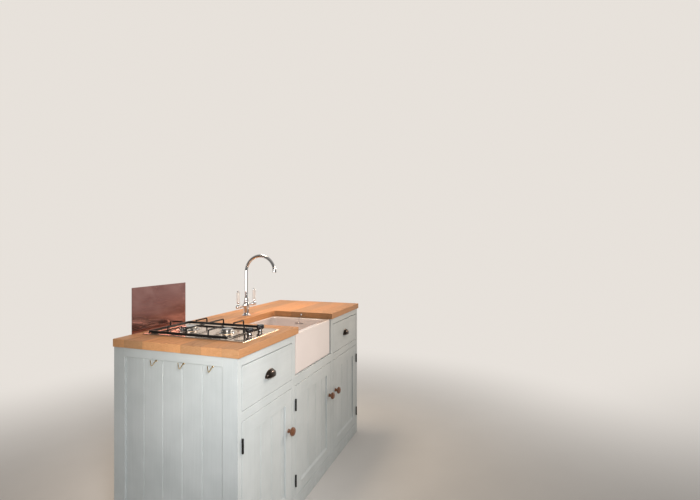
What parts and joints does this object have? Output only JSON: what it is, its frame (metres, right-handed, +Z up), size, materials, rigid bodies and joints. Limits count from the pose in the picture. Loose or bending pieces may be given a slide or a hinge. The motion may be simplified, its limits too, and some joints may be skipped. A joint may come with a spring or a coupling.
{
  "type": "fitted kitchen unit",
  "caption": "Fitted kitchen unit from a small hut: painted in-frame cupboards and drawers, oak worktop, apron-front ceramic sink, swan-neck mixer tap, gas hob and metal splashback.",
  "frame": {"origin": "middle of the object's footprint box, on the floor", "axes": "+X along the unit from the hob end to the far end, +Y from the front to the wall, +Z up"},
  "size_m": [1.4859, 0.648, 1.2525],
  "materials": {
    "oak": "oiled, satin",
    "cabinet_paint": "satin sage grey-green paint on timber",
    "carcass_wood": "plain birch-faced board",
    "knob_wood": "dark turned hardwood, polished",
    "hinge_iron": "black, satin",
    "antique_bronze": "dark antique bronze",
    "sink_ceramic": "white gloss glaze",
    "tap_chrome": "polished",
    "hob_steel": "brushed",
    "burner_metal": "cast, with black caps",
    "enamelled_iron": "black enamel",
    "knob_black": "black with a metal skirt",
    "splash_steel": "polished sheet",
    "hook_brass": "polished"
  },
  "bodies": {
    "root": {"worktop": "oak", "near_end_frame": "cabinet_paint", "near_end_boards": "cabinet_paint", "far_end_frame": "cabinet_paint", "far_end_boards": "cabinet_paint", "mullions": "cabinet_paint", "cross_rails": "cabinet_paint", "bottom_rail": "cabinet_paint", "cabinet_floor": "carcass_wood", "back_panel": "carcass_wood", "partitions": "carcass_wood", "runners_and_bearers": "carcass_wood", "frame_hinge_leaves": "hinge_iron", "sink": "sink_ceramic", "sink_waste": "tap_chrome", "plug_chain": "tap_chrome", "tap_body": "tap_chrome", "hob_plate": "hob_steel", "hob_burners": "burner_metal", "pan_support": "enamelled_iron", "splashback": "splash_steel", "hooks": "hook_brass"},
    "door_1": {"door_1_frame": "cabinet_paint", "door_1_boards": "cabinet_paint", "door_1_knob": "knob_wood", "door_1_hinge_leaves": "hinge_iron"},
    "door_2": {"door_2_frame": "cabinet_paint", "door_2_boards": "cabinet_paint", "door_2_knob": "knob_wood", "door_2_hinge_leaves": "hinge_iron"},
    "door_3": {"door_3_frame": "cabinet_paint", "door_3_boards": "cabinet_paint", "door_3_knob": "knob_wood", "door_3_hinge_leaves": "hinge_iron"},
    "drawer_1": {"drawer_1_front": "cabinet_paint", "drawer_1_box": "carcass_wood", "drawer_1_pull": "antique_bronze"},
    "drawer_2": {"drawer_2_front": "cabinet_paint", "drawer_2_box": "carcass_wood", "drawer_2_pull": "antique_bronze"},
    "spout": {"tap_spout": "tap_chrome"},
    "lever_near": {"tap_lever_near": "tap_chrome"},
    "lever_far": {"tap_lever_far": "tap_chrome"},
    "hob_knob_rear": {"hob_knob_rear": "knob_black"},
    "hob_knob_front": {"hob_knob_front": "knob_black"}
  },
  "joints": [
    {"name": "door_1_hinge", "type": "hinge", "parent": "root", "child": "door_1", "pos_m": [-0.6875, -0.2943, 0.34], "axis": [0, 0, -1], "range_deg": [0, 100]},
    {"name": "door_2_hinge", "type": "hinge", "parent": "root", "child": "door_2", "pos_m": [-0.2325, -0.2943, 0.34], "axis": [0, 0, -1], "range_deg": [0, 100]},
    {"name": "door_3_hinge", "type": "hinge", "parent": "root", "child": "door_3", "pos_m": [0.7095, -0.2943, 0.34], "axis": [0, 0, 1], "range_deg": [0, 90]},
    {"name": "drawer_1_slide", "type": "slide", "parent": "root", "child": "drawer_1", "axis": [0, -1, 0], "range_m": [0, 0.35]},
    {"name": "drawer_2_slide", "type": "slide", "parent": "root", "child": "drawer_2", "axis": [0, -1, 0], "range_m": [0, 0.35]},
    {"name": "spout_swivel", "type": "hinge", "parent": "root", "child": "spout", "pos_m": [0.02, 0.149, 0.99], "axis": [0, 0, 1], "range_deg": [-60, 60]},
    {"name": "near_lever_turn", "type": "hinge", "parent": "root", "child": "lever_near", "pos_m": [-0.062, 0.149, 0.958], "axis": [1, 0, 0], "range_deg": [0, 90]},
    {"name": "far_lever_turn", "type": "hinge", "parent": "root", "child": "lever_far", "pos_m": [0.102, 0.149, 0.958], "axis": [1, 0, 0], "range_deg": [0, 90]},
    {"name": "rear_burner_knob", "type": "hinge", "parent": "root", "child": "hob_knob_rear", "pos_m": [-0.473, -0.188, 0.918], "axis": [0, 0, 1], "range_deg": [0, 210]},
    {"name": "front_burner_knob", "type": "hinge", "parent": "root", "child": "hob_knob_front", "pos_m": [-0.385, -0.188, 0.918], "axis": [0, 0, 1], "range_deg": [0, 210]}
  ]
}
